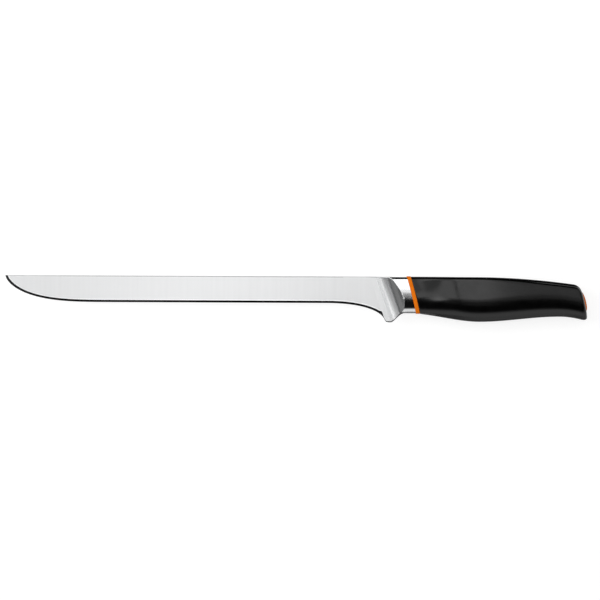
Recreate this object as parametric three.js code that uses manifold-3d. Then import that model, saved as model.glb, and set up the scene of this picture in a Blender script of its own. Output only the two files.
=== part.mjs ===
// A ham slicing knife. The long narrow blade is forged in one piece with its bolster, its heel and a hidden
// tang. The handle is built up on the tang: a ring against the bolster, two core halves pinned across the
// tang, a grip moulded over the core, and a domed insert pressed into the butt.
//
// While it is built, x runs from the tip to the butt, y from the cutting edge up to the spine, and z across
// the blade. x = 0, y = 0 is where the bolster's rear face meets the line of the spine. A station is the x
// where a leaning section meets that line. All sizes are in millimetres. At the end the knife lies on its side.

import * as THREE from "three";
import { mergeVertices } from "three/addons/utils/BufferGeometryUtils.js";
import Module from "manifold-3d";

const { lerp, clamp, smoothstep, degToRad } = THREE.MathUtils;
const wasm = await Module();
wasm.setup();

// Blade
const BLADE_LENGTH = 250; // from the tip to the foot of the heel
const BLADE_HEIGHT = 17.3; // from the spine to the straight edge
const SPINE_THICKNESS = 2.2; // at the bolster
const TIP_THICKNESS = 1.5; // of the spine, where the point starts to narrow
const SHOULDER_THICKNESS = 1; // just above the cutting bevel
const BEVEL_HEIGHT = 1.45;
const TIP_SWEEP = 70; // length of edge that curves up to the point
const TIP_LENGTH_POWER = 3.4; // fullness of that curve along the blade, and across it
const TIP_DEPTH_POWER = 1.66;
const BEVEL_STRETCH = 3; // the most that a steep edge draws the bevel out

// Heel
const HEEL_SETBACK = 11.6; // from the foot's front end to the bolster's rear face
const HEEL_FOOT = 1.4; // length of the flat foot
const HEEL_DROP = 12.4; // how far the foot lies below the straight edge
const HEEL_SWEEP = 38.8; // length of edge that curves down to the heel
const HEEL_SWEEP_POWER = 2.3; // fullness of that curve
const HEEL_SWEEP_END = 0.92; // share of the quarter turn after which the foot's rounding takes over
const HEEL_LEAN_END = 0.6; // share of it by which the sections have their full lean
const HEEL_BEVEL_FADE = 0.8; // shares of it between which the bevel runs out
const HEEL_BEVEL_END = 0.9;
const HEEL_CORNER = 2.2; // rounding between that curve and the foot
const HEEL_RAMP = 9; // length of the slope from the foot back up to the bolster
const RAMP_FOOT_PULL = 2.2; // how softly that slope leaves the foot, and meets the bolster
const RAMP_COLLAR_PULL = 3.5;

// Bolster
const COLLAR_HEIGHT = 23.7;
const COLLAR_THICKNESS = 13.2;
const COLLAR_SLOPE = 0.29; // how fast the flat sides fall away from their crest, above and below it
const COLLAR_CREST = 3; // rounding of that crest
const COLLAR_WIDEST_SHARE = 0.53; // where the crest lies between the back and the belly
const COLLAR_BACK_FULLNESS = 12; // power of the rounding at the back, and at the belly
const COLLAR_BELLY_FULLNESS = 3.8;
const BACK_EDGE = 1.5; // width of the cut edge along the back, from the bolster to the butt
const BACK_EDGE_FALL = 0.75; // how fast that edge falls away
const COVE_RADIUS = 19; // of the hollow between the blade and the bolster
const COVE_SETBACK = 20.5; // from the start of that hollow to the rear face
const COVE_SLANT = degToRad(18.5);
const JOINT_SLANT = degToRad(14.3); // lean of the rear face, the ring and the butt

// Ring
const RING_LENGTH = 2.5;
const RING_PROUD = 0.4; // how far the ring stands out of the bolster
const SPIGOT_LENGTH = 2; // part of the ring that plugs the grip's mouth

// Grip. Depths are below the spine line.
const GRIP_LENGTH = 108.5;
const GRIP_PROUD = 0.15; // how far the grip's front stands out of the bolster, and at the belly
const GRIP_BELLY_PROUD = 0.6;
const GRIP_FLARE = 0.1; // how fast the front widens, for each millimetre of length
const BELLY_DEPTH = 29.2;
const BELLY_SETBACK = 36.9; // from the grip's front to its belly
const WAIST_DEPTH = 25.65;
const TAIL_LENGTH = 18; // from the waist to the butt
const TAIL_DEPTH = 28.8;
const BACK_DROOP = 5; // how far the back falls away by the butt
const BACK_DROOP_LENGTH = 66;
const GRIP_THICKNESS = 20.6;
const GRIP_TAIL_THICKNESS = 18;
const SIDE_FLAT = 16; // length of the parallel sides at the belly
const SIDE_LAND = 1.02; // fullness that leaves a flat land along the middle of each side
const WIDEST_SHARE = 0.35; // where the widest line lies between the back and the belly
const TAIL_WIDEST_SHARE = 0.27; // the same from the waist to the butt
const BACK_FULLNESS = 7; // power of the section's curve above that line; 2 is an ellipse
const TAIL_FULLNESS = 3; // the same from the waist to the butt
const BELLY_FULLNESS = 2.2; // power of the curve below that line
const BELLY_EDGE = 2.6; // width of the flatter edge along the belly
const BELLY_EDGE_FALL = 0.86; // how fast that edge falls away
const SHAPING_LENGTH = 22; // from the bolster's section to the full one
const BUTT_BACK_RADIUS = 4.2;
const BUTT_BELLY_RADIUS = 4;
const BUTT_SIDE_RADIUS = 3;

// Core inside the grip, and the tang inside the core
const GRIP_WALL = 3;
const BUTT_WALL = 9.5; // solid end of the grip behind the core
const KEY_SHARES = [0.15, 0.5, 0.85]; // places along the core of the grooves that lock the grip
const KEY_WIDTH = 5;
const KEY_DEPTH = 1;
const KEY_CHAMFER = 1;
const TANG_SETBACK = 13; // from the tang's end to the core's end
const TANG_THICKNESS = 2.5;
const TANG_FRONT_HEIGHT = 12;
const TANG_REAR_HEIGHT = 8.5;
const TANG_DEPTH = 12.2; // of the tang's centre line
const TANG_ROOT = 4; // length of tang inside the bolster

// Pins across the tang
const PIN_DIAMETER = 4;
const PIN_FRONT_SHARE = 0.34; // places along the tang
const PIN_REAR_SHARE = 0.75;
const PIN_SINK = 0.5; // how far the pins end below the core's grooves

// Insert in the butt
const INSERT_HEIGHT = 13.6;
const INSERT_WIDTH = 9;
const INSERT_DEPTH = 15.4; // of its centre
const INSERT_DOME = 1.9; // how far it stands out of the butt
const INSERT_PLATE = 1.6; // how far its plate is let into the butt
const INSERT_STEM_SHARE = 0.45; // size of its stem against the plate
const INSERT_FULLNESS = 2.4;

// Fits
const SEAM = 0.1; // between faces that meet
const CLEARANCE = 0.25; // round pieces that sit inside others

// Fineness of the faceted surfaces
const TIP_STEPS = 18;
const STRAIGHT_STEPS = 5;
const HEEL_STEPS = 12;
const FOOT_STEPS = 4;
const RAMP_STEPS = 8;
const RIDGE_STEPS = 6;
const SPINE_POINTS = 8; // on half a forging section: over the spine, down the face and round the foot
const FACE_POINTS = 2;
const FOOT_POINTS = 7;
const HANDLE_POINTS = 20; // on half a handle section
const GRIP_STEP = 5.5; // between grip sections
const BUTT_STEPS = 6;
const DOME_STEPS = 5;
const PIN_SIDES = 24;
const EDGE_ROUND = 12; // power of the small rounding that closes a cut edge
const CREST_SHARE = 1e-3; // shares below this lie on the widest line itself

// Places that follow from the sizes
const COVE_LEAN = Math.tan(COVE_SLANT);
const JOINT_LEAN = Math.tan(JOINT_SLANT);
const TIP_X = -HEEL_SETBACK - BLADE_LENGTH;
const HEEL_X = -HEEL_SETBACK - HEEL_CORNER;
const SWEEP_X = HEEL_X - HEEL_SWEEP;
const RAMP_X = -HEEL_SETBACK + HEEL_FOOT;
const RAMP_END_X = RAMP_X + HEEL_RAMP;
const FOOT_Y = -BLADE_HEIGHT - HEEL_DROP;
const COLLAR_Y = -COLLAR_HEIGHT;
const GRIP_START = RING_LENGTH + 2 * SEAM;
const GRIP_END = GRIP_START + GRIP_LENGTH;
const BELLY_STATION = GRIP_START + BELLY_SETBACK;
const CORE_START = GRIP_START + SPIGOT_LENGTH + SEAM;
const CORE_END = GRIP_END - BUTT_WALL;
const TANG_END = CORE_END - TANG_SETBACK;
const PIN_PLACES = [PIN_FRONT_SHARE * TANG_END, PIN_REAR_SHARE * TANG_END];
const KEY_PLACES = KEY_SHARES.map((share) => lerp(CORE_START, CORE_END, share));
const QUARTER = Math.PI / 2;

// Evenly spread values, both ends included.
function spread(from, to, steps) {
  return Array.from({ length: steps + 1 }, (_, i) => lerp(from, to, i / steps));
}

// A geometry as a solid that can be joined and cut. Facets that have shrunk to a line are left out.
function solid(geometry) {
  const bare = geometry.clone();
  bare.deleteAttribute("normal");
  bare.deleteAttribute("uv");
  const merged = mergeVertices(bare, 1e-4);
  const corners = Array.from(merged.index.array);
  const facet = (i) => corners.slice(i - (i % 3), i - (i % 3) + 3);
  const triVerts = corners.filter((_, i) => new Set(facet(i)).size === 3);
  return new wasm.Manifold(
    new wasm.Mesh({
      numProp: 3,
      vertProperties: new Float32Array(merged.attributes.position.array),
      triVerts: new Uint32Array(triVerts),
    }),
  );
}

// A solid as a geometry with flat facets.
function facets(made) {
  const mesh = made.getMesh();
  const indexed = new THREE.BufferGeometry();
  indexed.setAttribute("position", new THREE.BufferAttribute(mesh.vertProperties, 3));
  indexed.setIndex(new THREE.BufferAttribute(mesh.triVerts, 1));
  const geometry = indexed.toNonIndexed();
  geometry.computeVertexNormals();
  return geometry;
}

// A solid skinned through rings of points, with a flat face at each end.
function loft(rings) {
  const count = rings[0].length;
  const last = (rings.length - 1) * count;
  const index = [];
  for (let ring = 0; ring < last; ring += count) {
    for (let i = 0; i < count; i++) {
      const next = (i + 1) % count;
      index.push(ring + i, ring + next, ring + count + next);
      index.push(ring + i, ring + count + next, ring + count + i);
    }
  }
  for (let i = 1; i + 1 < count; i++) {
    index.push(0, i + 1, i);
    index.push(last, last + i, last + i + 1);
  }
  return solid(new THREE.BufferGeometry().setFromPoints(rings.flat()).setIndex(index));
}

// A ring from half a section, whose points have a height y and a half thickness w. The section meets the
// spine line at its station, and leans back by lean for each millimetre down.
function ringFrom(half, station, lean) {
  const right = half.map(({ y, w }) => new THREE.Vector3(station - lean * y, y, w));
  const left = half.map(({ y, w }) => new THREE.Vector3(station - lean * y, y, -w));
  return [...right, ...left.slice(1, -1).reverse()];
}

// The value at a place on a smooth curve through knots of [place, value, slope].
function throughKnots(knots, place) {
  const past = knots.findIndex(([knot]) => knot >= place);
  const next = clamp(past < 0 ? knots.length : past, 1, knots.length - 1);
  const [[x0, y0, slope0], [x1, y1, slope1]] = [knots[next - 1], knots[next]];
  const t = clamp((place - x0) / (x1 - x0), 0, 1);
  const bend = t * (1 - t) * ((1 - t) * slope0 - t * slope1);
  return lerp(y0, y1, t * t * (3 - 2 * t)) + (x1 - x0) * bend;
}

// Half of a rounded section, at a share of the way from its widest line to the back (side 1) or to the belly
// (side -1). Its corners are rounded to a power, a slope makes the sides fall away from a soft crest, and an
// edge of a set width and fall can close it.
function roundedPoint(section, side, share) {
  const { top, middle, bottom, thickness, slope, land = 1 } = section;
  const reach = side > 0 ? top - middle : middle - bottom;
  const power = side > 0 ? section.above : section.below;
  const edge = side > 0 ? section.backEdge : section.bellyEdge;
  const width = (at) => {
    const corner = Math.max(0, 1 - at ** power) ** (1 / power);
    const fall = slope * (Math.hypot(at * reach, COLLAR_CREST) - COLLAR_CREST);
    return Math.min(1, land * corner) * (thickness / 2) - fall * corner;
  };
  const start = clamp(1 - edge / reach, 0, 1);
  const y = middle + side * reach * share;
  if (share <= start) return { y, w: Math.max(0, width(share)) };
  const edgeFall = side > 0 ? BACK_EDGE_FALL : BELLY_EDGE_FALL;
  const past = (share - start) / (1 - start);
  const close = Math.max(0, 1 - past ** EDGE_ROUND) ** (1 / EDGE_ROUND);
  return { y, w: Math.max(0, close * (width(start) - edgeFall * (share - start) * reach)) };
}

// Shares that lie closer together at both ends.
function easedSpread(from, to, steps) {
  return spread(0, Math.PI, steps).map((turn) => lerp(from, to, (1 - Math.cos(turn)) / 2));
}

// The bolster's section for a given bottom, standing out by proud.
function collarSection(bottom, proud = 0) {
  return {
    top: proud,
    middle: COLLAR_WIDEST_SHARE * bottom,
    bottom: bottom - proud,
    thickness: COLLAR_THICKNESS + 2 * proud,
    above: COLLAR_BACK_FULLNESS,
    below: COLLAR_BELLY_FULLNESS,
    slope: COLLAR_SLOPE,
    backEdge: BACK_EDGE,
    bellyEdge: 0,
  };
}

// The share at which one side of a section has narrowed to a half thickness, found by halving.
function shareAt(section, side, w) {
  let [near, far] = [0, 1];
  for (let i = 0; i < 60; i++) {
    const half = (near + far) / 2;
    if (roundedPoint(section, side, half).w > w) near = half;
    else far = half;
  }
  return far < CREST_SHARE ? 0 : far;
}

// The forging's lower outline, in stretches from the tip to the bolster's rear face. Each stop has its place
// on the outline, the lean of the section there and the height of the cutting bevel.

// How much higher the bevel is on a section than across the edge, which may run at a slant to the section.
function bevelStretch(here, ahead, lean) {
  const [dx, dy] = [ahead.x - here.x, ahead.y - here.y];
  const across = Math.max(dx + lean * dy, 1e-6);
  return clamp(Math.hypot(dx, dy) / across, 1, BEVEL_STRETCH);
}

// Tip: a rounded quarter curve, steep at the point and level where it runs into the edge.
function tipStops() {
  const at = (turn) => ({
    x: TIP_X + TIP_SWEEP * (1 - Math.cos(turn) ** (2 / TIP_LENGTH_POWER)),
    y: -BLADE_HEIGHT * Math.sin(turn) ** (2 / TIP_DEPTH_POWER),
  });
  const step = QUARTER / TIP_STEPS;
  return spread(0, QUARTER - step, TIP_STEPS - 1).map((turn) => {
    const here = at(turn);
    const stretch = bevelStretch(here, at(turn + step / 4), 0);
    return { ...here, lean: 0, bevel: BEVEL_HEIGHT * stretch };
  });
}

function straightStops() {
  const places = spread(TIP_X + TIP_SWEEP, SWEEP_X, STRAIGHT_STEPS).slice(0, -1);
  return places.map((x) => ({ x, y: -BLADE_HEIGHT, lean: 0, bevel: BEVEL_HEIGHT }));
}

// Heel: a quarter curve the other way, along which the sections lean over and the bevel runs out.
function heelPoint(share) {
  const turn = share * QUARTER;
  return {
    x: SWEEP_X + HEEL_SWEEP * Math.sin(turn) ** (2 / HEEL_SWEEP_POWER),
    y: -BLADE_HEIGHT - HEEL_DROP * (1 - Math.cos(turn)),
  };
}

function heelStops() {
  const step = HEEL_SWEEP_END / HEEL_STEPS;
  return spread(0, HEEL_SWEEP_END - step, HEEL_STEPS - 1).map((share) => {
    const here = heelPoint(share);
    const lean = COVE_LEAN * smoothstep(share, 0, HEEL_LEAN_END);
    const stretch = bevelStretch(here, heelPoint(share + step / 4), lean);
    const left = 1 - smoothstep(share, HEEL_BEVEL_FADE, HEEL_BEVEL_END);
    return { ...here, lean, bevel: BEVEL_HEIGHT * stretch * left };
  });
}

// Foot of the heel, and the slope up to the bolster.
function footStops() {
  const start = heelPoint(HEEL_SWEEP_END);
  const corner = new THREE.CubicBezierCurve(
    new THREE.Vector2(start.x, start.y),
    new THREE.Vector2(HEEL_X, (start.y + FOOT_Y) / 2),
    new THREE.Vector2(-HEEL_SETBACK - HEEL_CORNER / 2, FOOT_Y),
    new THREE.Vector2(-HEEL_SETBACK, FOOT_Y),
  );
  const ramp = new THREE.CubicBezierCurve(
    new THREE.Vector2(RAMP_X, FOOT_Y),
    new THREE.Vector2(RAMP_X + RAMP_FOOT_PULL, FOOT_Y),
    new THREE.Vector2(RAMP_END_X - RAMP_COLLAR_PULL, COLLAR_Y),
    new THREE.Vector2(RAMP_END_X, COLLAR_Y),
  );
  const points = [...corner.getPoints(FOOT_STEPS), ...ramp.getPoints(RAMP_STEPS)];
  return points.map(({ x, y }) => ({ x, y, lean: COVE_LEAN, bevel: 0 }));
}

// Bolster: close sections up to the peak of the ridge, then the plain collar back to the rear face.
function bolsterStops() {
  const start = RAMP_END_X + COVE_LEAN * COLLAR_Y;
  const latest = COLLAR_Y * (COVE_LEAN - JOINT_LEAN) - RING_LENGTH;
  const peak = clamp(ridgePeak(), start + SEAM, latest);
  const stations = spread(1, 0, RIDGE_STEPS).slice(1).map((left) => lerp(peak, start, left * left));
  const ridge = stations.map((station) => ({
    x: station - COVE_LEAN * COLLAR_Y,
    y: COLLAR_Y,
    lean: COVE_LEAN,
    bevel: 0,
  }));
  return [...ridge, { x: -JOINT_LEAN * COLLAR_Y, y: COLLAR_Y, lean: JOINT_LEAN, bevel: 0 }];
}

// How far the cove has risen out of the blade's face: an arc that leaves the face smoothly.
function coveRise(station) {
  const run = clamp(station + COVE_SETBACK, 0, COVE_RADIUS);
  return COVE_RADIUS - Math.sqrt(COVE_RADIUS ** 2 - run ** 2);
}

// The station where the cove has risen to the widest part of the bolster.
function ridgePeak() {
  const depth = COVE_RADIUS - (COLLAR_THICKNESS - SPINE_THICKNESS) / 2;
  return Math.sqrt(COVE_RADIUS ** 2 - depth ** 2) - COVE_SETBACK;
}

// The half thickness of the blade's face at a height: a flat taper down to the bevel's shoulder, which the
// cove lifts towards the bolster and evens out.
function faceOf(station, bottom, bevel) {
  const along = clamp((station - TIP_X) / (BLADE_LENGTH - COVE_SETBACK), 0, 1);
  const spine = lerp(TIP_THICKNESS, SPINE_THICKNESS, along) / 2;
  const height = Math.min(bevel, -bottom);
  const shoulderY = bottom + height;
  const shoulder = (SHOULDER_THICKNESS / 2) * (bevel > 0 ? height / bevel : 1);
  const slope = (spine - SHOULDER_THICKNESS / 2) / Math.max(-shoulderY, BLADE_HEIGHT - BEVEL_HEIGHT);
  const even = smoothstep(station, -COVE_SETBACK, -COVE_SETBACK / 2);
  const rise = coveRise(station);
  const thickness = (y) => lerp(shoulder + slope * (y - shoulderY), spine, even) + rise;
  return { shoulderY, thickness };
}

// A section of the forging. The bolster's section cuts the face off above and below, which makes the ridge,
// and along the edge the cutting bevel takes over from it.
function forgingSection({ x, y: bottom, lean, bevel }) {
  const station = x + lean * bottom;
  const collar = collarSection(bottom);
  const face = faceOf(station, bottom, bevel);
  const upperShare = shareAt(collar, 1, face.thickness(0));
  const lowerShare = shareAt(collar, -1, face.thickness(bottom));
  const upper = roundedPoint(collar, 1, upperShare);
  const rounded = roundedPoint(collar, -1, lowerShare);
  const isBevelled = face.shoulderY > rounded.y;
  const lower = isBevelled ? { y: face.shoulderY, w: face.thickness(face.shoulderY) } : rounded;

  const edge = { y: bottom, w: 0 };
  const line = (a, b, count) =>
    spread(0, 1, count).slice(0, -1).map((share) => ({ y: lerp(a.y, b.y, share), w: lerp(a.w, b.w, share) }));
  const turns = spread(0, QUARTER, SPINE_POINTS).slice(0, -1);
  const back = turns.map((turn) => roundedPoint(collar, 1, shareAt(collar, 1, upper.w * Math.sin(turn))));
  const shares = easedSpread(lowerShare, 1, FOOT_POINTS).slice(0, -1);
  const half = [
    ...back,
    ...line(upper, lower, FACE_POINTS),
    ...(isBevelled ? line(lower, edge, FOOT_POINTS) : shares.map((share) => roundedPoint(collar, -1, share))),
    edge,
  ];
  return ringFrom(half, station, lean);
}

// The tang: a bar that narrows to a round end. It is grown all round for the slots that hold it.
function tangBar(grow) {
  const [front, rear] = [TANG_FRONT_HEIGHT / 2 + grow, TANG_REAR_HEIGHT / 2 + grow];
  const end = TANG_END - TANG_REAR_HEIGHT / 2;
  const depth = TANG_THICKNESS + 2 * grow;
  const outline = new THREE.Shape();
  outline.moveTo(-TANG_ROOT, -front);
  outline.lineTo(end, -rear);
  outline.absarc(end, 0, rear, -QUARTER, QUARTER);
  outline.lineTo(-TANG_ROOT, front);
  outline.closePath();
  const bar = new THREE.ExtrudeGeometry(outline, { depth, bevelEnabled: false, curveSegments: PIN_SIDES / 2 });
  return solid(bar.translate(0, -TANG_DEPTH, -depth / 2));
}

// A round bar across the tang.
function crossBar(place, diameter, length) {
  const bar = new THREE.CylinderGeometry(diameter / 2, diameter / 2, length, PIN_SIDES);
  return solid(bar.rotateX(QUARTER).translate(place, -TANG_DEPTH, 0));
}

function makeForging() {
  const stops = [...tipStops(), ...straightStops(), ...heelStops(), ...footStops(), ...bolsterStops()];
  const holes = PIN_PLACES.map((place) => crossBar(place, PIN_DIAMETER + CLEARANCE, COLLAR_THICKNESS));
  const tang = holes.reduce((bar, hole) => bar.subtract(hole), tangBar(0));
  return loft(stops.map(forgingSection)).add(tang);
}

// Half a section of the handle, from the back over the widest line to the belly.
function roundedHalf(section) {
  const shares = easedSpread(0, 1, HANDLE_POINTS / 2);
  const above = shares.map((share) => roundedPoint(section, 1, share)).reverse();
  const below = shares.map((share) => roundedPoint(section, -1, share));
  return [...above, ...below.slice(1)];
}

// The grip's lines along its length: the back, the belly and the thickness.
function gripLines(station) {
  const front = COLLAR_THICKNESS + 2 * GRIP_PROUD;
  const waist = GRIP_END - TAIL_LENGTH;
  const droop = GRIP_END - BACK_DROOP_LENGTH;
  const back = [
    [GRIP_START, GRIP_PROUD, 0],
    [droop, 0, 0],
    [GRIP_END, -BACK_DROOP, (-2 * BACK_DROOP) / BACK_DROOP_LENGTH],
  ];
  const belly = [
    [GRIP_START, COLLAR_Y - GRIP_BELLY_PROUD, -GRIP_FLARE],
    [BELLY_STATION, -BELLY_DEPTH, 0],
    [waist, -WAIST_DEPTH, 0],
    [GRIP_END, -TAIL_DEPTH, (2 * (WAIST_DEPTH - TAIL_DEPTH)) / TAIL_LENGTH],
  ];
  const thickness = [
    [GRIP_START, front, GRIP_FLARE],
    [BELLY_STATION - SIDE_FLAT / 2, GRIP_THICKNESS, 0],
    [BELLY_STATION + SIDE_FLAT / 2, GRIP_THICKNESS, 0],
    [GRIP_END, GRIP_TAIL_THICKNESS, 0],
  ];
  return [back, belly, thickness].map((knots) => throughKnots(knots, station));
}

// How far a rounding of the butt's edge has come in at a station.
function buttRounding(station, radius) {
  const into = clamp(station - GRIP_END + radius, 0, radius);
  return radius - Math.sqrt(radius ** 2 - into ** 2);
}

// The grip's section at a station, taken in all round by an inset.
function gripRing(station, inset) {
  const [back, belly, thickness] = gripLines(station);
  const shaped = smoothstep(station, GRIP_START, GRIP_START + SHAPING_LENGTH);
  const tail = smoothstep(station, BELLY_STATION, GRIP_END - TAIL_LENGTH);
  const fullness = lerp(BACK_FULLNESS, TAIL_FULLNESS, tail);
  const widest = lerp(WIDEST_SHARE, TAIL_WIDEST_SHARE, tail);
  const half = roundedHalf({
    top: back - buttRounding(station, BUTT_BACK_RADIUS) - inset,
    middle: lerp(back, belly, lerp(COLLAR_WIDEST_SHARE, widest, shaped)),
    bottom: belly + buttRounding(station, BUTT_BELLY_RADIUS) + inset,
    thickness: thickness - 2 * buttRounding(station, BUTT_SIDE_RADIUS) - 2 * inset,
    above: lerp(COLLAR_BACK_FULLNESS, fullness, shaped),
    below: lerp(COLLAR_BELLY_FULLNESS, BELLY_FULLNESS, shaped),
    slope: COLLAR_SLOPE * (1 - shaped),
    land: lerp(1, SIDE_LAND, shaped * (1 - tail)),
    backEdge: BACK_EDGE,
    bellyEdge: BELLY_EDGE * shaped,
  });
  return ringFrom(half, station, JOINT_LEAN);
}

// How deep the core's grooves are at a station.
function keyDepth(station) {
  const shares = KEY_PLACES.map((place) => {
    const outside = Math.abs(station - place) - KEY_WIDTH / 2;
    return clamp(1 - outside / KEY_CHAMFER, 0, 1);
  });
  return KEY_DEPTH * Math.max(...shares);
}

// The core's outside, or with a clearance the cavity for it.
function coreLoft(start, end, clearance) {
  const reach = KEY_WIDTH / 2 + KEY_CHAMFER;
  const corners = KEY_PLACES.flatMap((place) =>
    [-reach, -KEY_WIDTH / 2, KEY_WIDTH / 2, reach].map((offset) => place + offset),
  );
  const steps = Math.ceil((end - start) / (2 * GRIP_STEP));
  const plain = spread(start, end, steps).filter((station) => keyDepth(station) === 0);
  const stations = [start, ...plain, ...corners.filter((station) => station > start && station < end), end];
  const ordered = [...new Set(stations)].sort((a, b) => a - b);
  return loft(ordered.map((station) => gripRing(station, GRIP_WALL + keyDepth(station) - clearance)));
}

function makeRing() {
  const half = roundedHalf(collarSection(COLLAR_Y, RING_PROUD));
  const rear = SEAM + RING_LENGTH;
  const plate = loft([SEAM, rear].map((station) => ringFrom(half, station, JOINT_LEAN)));
  const spigot = loft([rear - SEAM, GRIP_START + SPIGOT_LENGTH].map((station) => gripRing(station, GRIP_WALL)));
  return plate.add(spigot).subtract(tangBar(CLEARANCE));
}

// One half of the core, on the blade's right (1) or left (-1). The halves part on the blade's own plane.
function makeCoreHalf(side) {
  const room = 2 * GRIP_THICKNESS;
  const block = new THREE.BoxGeometry(4 * GRIP_LENGTH, 4 * BELLY_DEPTH, room);
  const beside = solid(block.translate(0, 0, (side * (room + SEAM)) / 2));
  const half = coreLoft(CORE_START, CORE_END, 0).intersect(beside).subtract(tangBar(CLEARANCE));
  const holes = PIN_PLACES.map((place) => crossBar(place, PIN_DIAMETER + CLEARANCE, room));
  return holes.reduce((rest, hole) => rest.subtract(hole), half);
}

// A pin that ends below the core's grooves.
function makePin(place) {
  const thickness = gripLines(place)[2];
  return crossBar(place, PIN_DIAMETER, thickness - 2 * (GRIP_WALL + KEY_DEPTH + PIN_SINK));
}

// The insert's outline, at a share of its size and grown by a gap.
function insertRing(station, share, gap) {
  const [height, width] = [INSERT_HEIGHT * share + 2 * gap, INSERT_WIDTH * share + 2 * gap];
  const half = roundedHalf({
    top: height / 2 - INSERT_DEPTH,
    middle: -INSERT_DEPTH,
    bottom: -height / 2 - INSERT_DEPTH,
    thickness: width,
    above: INSERT_FULLNESS,
    below: INSERT_FULLNESS,
    slope: 0,
    backEdge: 0,
    bellyEdge: 0,
  });
  return ringFrom(half, station, JOINT_LEAN);
}

// The insert's stem, or with a gap the hole for it.
function insertStem(gap) {
  const seat = GRIP_END - INSERT_PLATE;
  const end = (seat + CORE_END) / 2;
  return loft([end - gap, seat + gap].map((station) => insertRing(station, INSERT_STEM_SHARE, gap)));
}

function makeInsert() {
  const turns = spread(0, QUARTER, DOME_STEPS).slice(0, -1);
  const dome = turns.map((turn) => insertRing(GRIP_END + INSERT_DOME * Math.sin(turn), Math.cos(turn), 0));
  return loft([insertRing(GRIP_END - INSERT_PLATE, 1, 0), ...dome]).add(insertStem(SEAM));
}

function insertPocket() {
  const stations = [GRIP_END - INSERT_PLATE - SEAM, GRIP_END + BUTT_BACK_RADIUS];
  return loft(stations.map((station) => insertRing(station, 1, SEAM))).add(insertStem(2 * SEAM));
}

// Grip sections stand at even steps, with one at each end of the parallel sides.
function gripStations() {
  const [flatStart, flatEnd] = [BELLY_STATION - SIDE_FLAT / 2, BELLY_STATION + SIDE_FLAT / 2];
  const shoulder = GRIP_END - BUTT_BACK_RADIUS;
  const frontSteps = Math.ceil((flatStart - GRIP_START) / GRIP_STEP);
  const rearSteps = Math.ceil((shoulder - flatEnd) / GRIP_STEP);
  return [
    ...spread(GRIP_START, flatStart, frontSteps),
    BELLY_STATION,
    ...spread(flatEnd, shoulder, rearSteps),
    ...spread(0, QUARTER, BUTT_STEPS).slice(1).map((turn) => shoulder + BUTT_BACK_RADIUS * Math.sin(turn)),
  ];
}

function makeGrip() {
  const outside = loft(gripStations().map((station) => gripRing(station, 0)));
  const cavity = coreLoft(GRIP_START - SPIGOT_LENGTH, CORE_END + SEAM, CLEARANCE);
  return outside.subtract(cavity).subtract(insertPocket());
}

const steel = new THREE.MeshStandardMaterial({ color: 0xd6d8da, roughness: 0.3, metalness: 1 });
const pinSteel = new THREE.MeshStandardMaterial({ color: 0xb8babd, roughness: 0.4, metalness: 1 });
const orange = new THREE.MeshStandardMaterial({ color: 0xf57f17, roughness: 0.4, metalness: 0 });
const softBlack = new THREE.MeshStandardMaterial({ color: 0x232324, roughness: 0.55, metalness: 0 });
const corePlastic = new THREE.MeshStandardMaterial({ color: 0x4a4b4d, roughness: 0.6, metalness: 0 });

const knife = new THREE.Group();
function place(name, made, material) {
  const mesh = new THREE.Mesh(facets(made), material);
  mesh.name = name;
  knife.add(mesh);
}

place("blade", makeForging(), steel);
place("front_ring", makeRing(), orange);
place("core_left", makeCoreHalf(-1), corePlastic);
place("core_right", makeCoreHalf(1), corePlastic);
place("tang_pin_front", makePin(PIN_PLACES[0]), pinSteel);
place("tang_pin_rear", makePin(PIN_PLACES[1]), pinSteel);
place("grip", makeGrip(), softBlack);
place("butt_insert", makeInsert(), orange);

// The knife lies on its side, with the origin under the middle of its length and height.
const box = new THREE.Box3().setFromObject(knife);
const centre = box.getCenter(new THREE.Vector3());
knife.position.set(-centre.x, -centre.y, -box.min.z);

export default knife;
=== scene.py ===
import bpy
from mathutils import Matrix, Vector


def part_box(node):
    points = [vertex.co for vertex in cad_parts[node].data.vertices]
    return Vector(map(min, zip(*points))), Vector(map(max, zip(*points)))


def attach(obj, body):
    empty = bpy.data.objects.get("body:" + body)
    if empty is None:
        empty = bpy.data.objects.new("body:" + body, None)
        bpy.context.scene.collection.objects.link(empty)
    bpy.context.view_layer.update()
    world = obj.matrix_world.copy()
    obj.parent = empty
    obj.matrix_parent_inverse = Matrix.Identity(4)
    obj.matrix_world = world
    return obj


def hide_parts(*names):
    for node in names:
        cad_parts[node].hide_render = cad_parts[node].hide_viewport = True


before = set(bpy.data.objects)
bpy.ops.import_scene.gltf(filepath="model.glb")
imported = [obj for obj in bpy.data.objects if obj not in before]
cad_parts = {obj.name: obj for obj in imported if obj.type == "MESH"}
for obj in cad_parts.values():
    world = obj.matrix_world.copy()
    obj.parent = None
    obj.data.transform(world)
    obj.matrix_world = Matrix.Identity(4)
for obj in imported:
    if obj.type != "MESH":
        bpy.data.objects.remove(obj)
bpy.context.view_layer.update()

import math

import bmesh
import bpy
import numpy as np

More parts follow.
